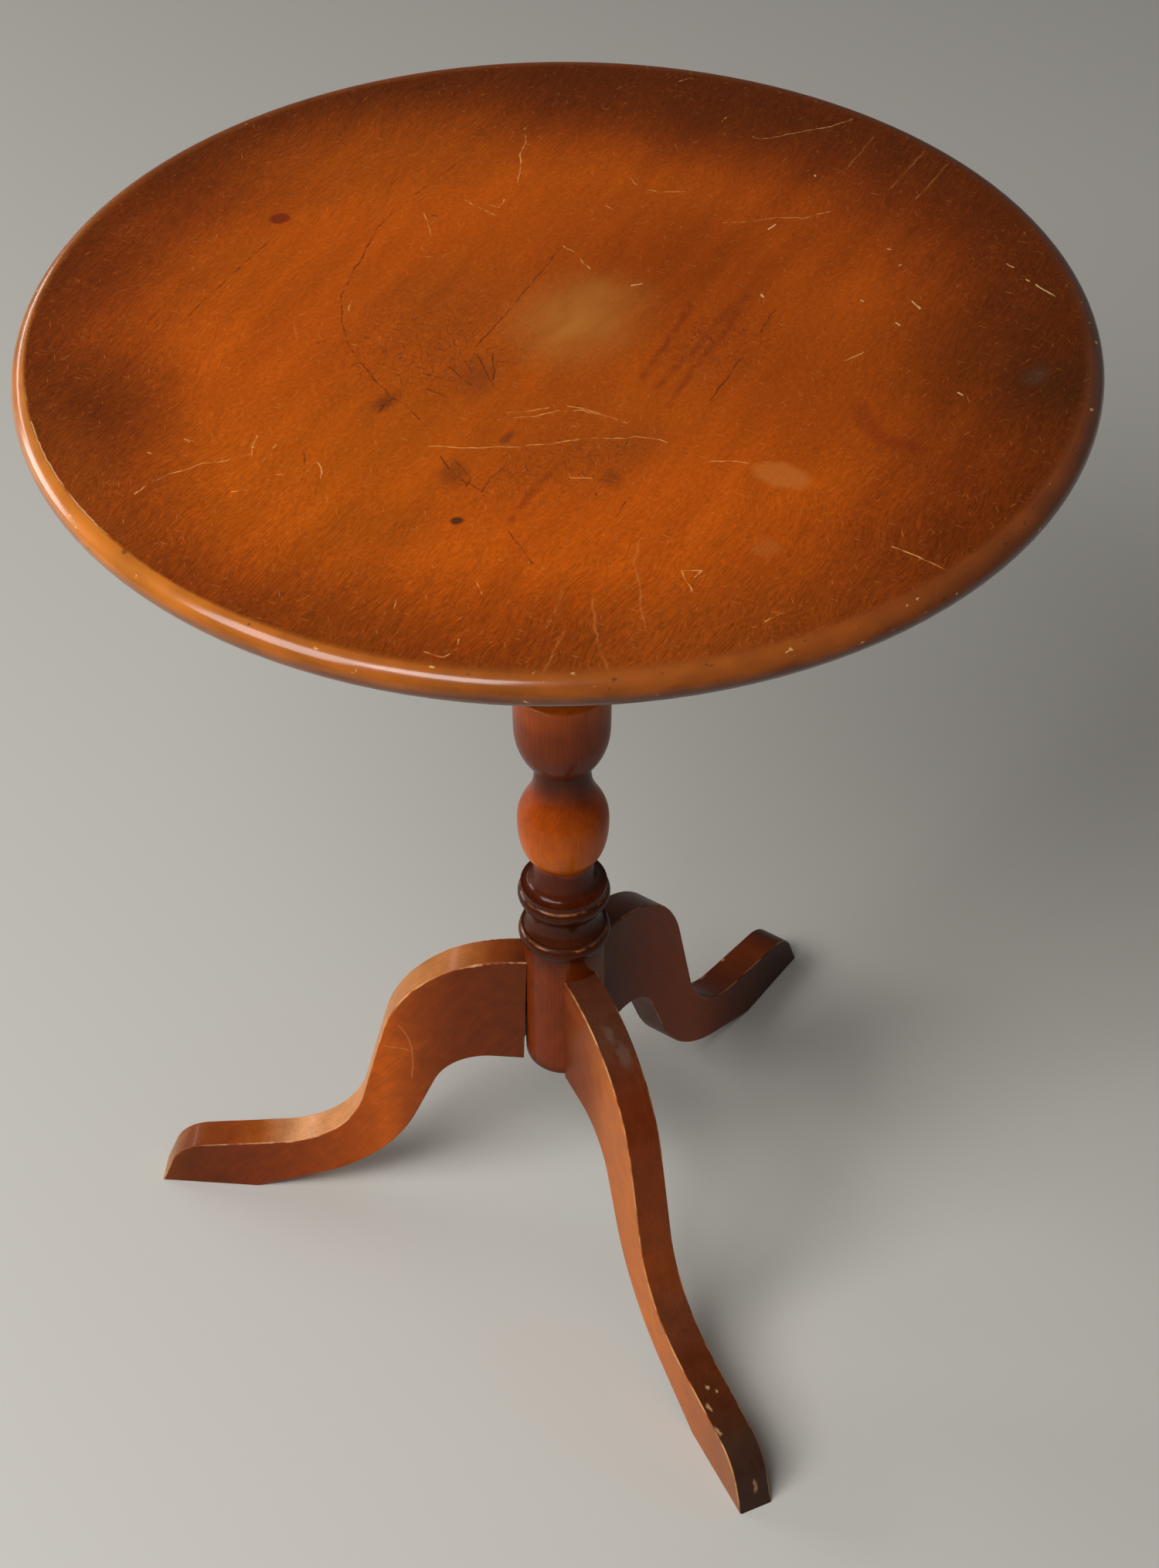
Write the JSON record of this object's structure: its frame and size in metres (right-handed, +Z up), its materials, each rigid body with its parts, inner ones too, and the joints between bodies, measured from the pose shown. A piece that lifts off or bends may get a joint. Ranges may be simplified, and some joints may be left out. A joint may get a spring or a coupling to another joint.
{
  "type": "tilt top table",
  "caption": "Small round wooden table whose top tips upright on a square block, carried by a turned column on three sawn cabriole legs.",
  "frame": {"origin": "on the floor, under the column's axis", "axes": "+Z up through the column; X along the hinge; +Y towards the catch, -Y towards the hinge side and the front leg"},
  "size_m": [0.5599, 0.56, 0.696],
  "materials": {
    "lacquered_wood": "toned gloss lacquer",
    "stained_wood": "stained and lacquered",
    "batten_wood": "stained, unlacquered",
    "pale_wood": "bare",
    "steel": "zinc plated",
    "spring_steel": "oiled",
    "brass": "aged"
  },
  "bodies": {
    "base": {"pivot_block": "stained_wood", "pivot_screw_left": "steel", "pivot_screw_right": "steel", "pivot_washer_left": "steel", "pivot_washer_right": "steel", "column": "stained_wood", "tenon_wedge": "pale_wood", "leg_front": "stained_wood", "leg_rear_left": "stained_wood", "leg_rear_right": "stained_wood", "dowels_front": "pale_wood", "dowels_rear_left": "pale_wood", "dowels_rear_right": "pale_wood", "strike_plate": "brass", "strike_screws": "brass"},
    "top": {"table_top": "lacquered_wood", "batten_left": "batten_wood", "batten_right": "batten_wood", "batten_screws_left": "steel", "batten_screws_right": "steel", "catch_plate": "brass", "catch_screws": "brass", "catch_housing": "brass", "catch_spring": "spring_steel"},
    "catch_bolt": {"catch_bolt": "brass", "catch_knob": "brass"}
  },
  "joints": [
    {"name": "top_tilt", "type": "hinge", "parent": "base", "child": "top", "pos_m": [0, -0.037, 0.6627], "axis": [1, 0, 0], "range_deg": [0, 90]},
    {"name": "catch_slide", "type": "slide", "parent": "top", "child": "catch_bolt", "axis": [0, 1, 0], "range_m": [-0.0045, 0], "stiffness_N_per_m": 150, "springref_m": -0.012, "deforming": ["catch_spring"]}
  ]
}
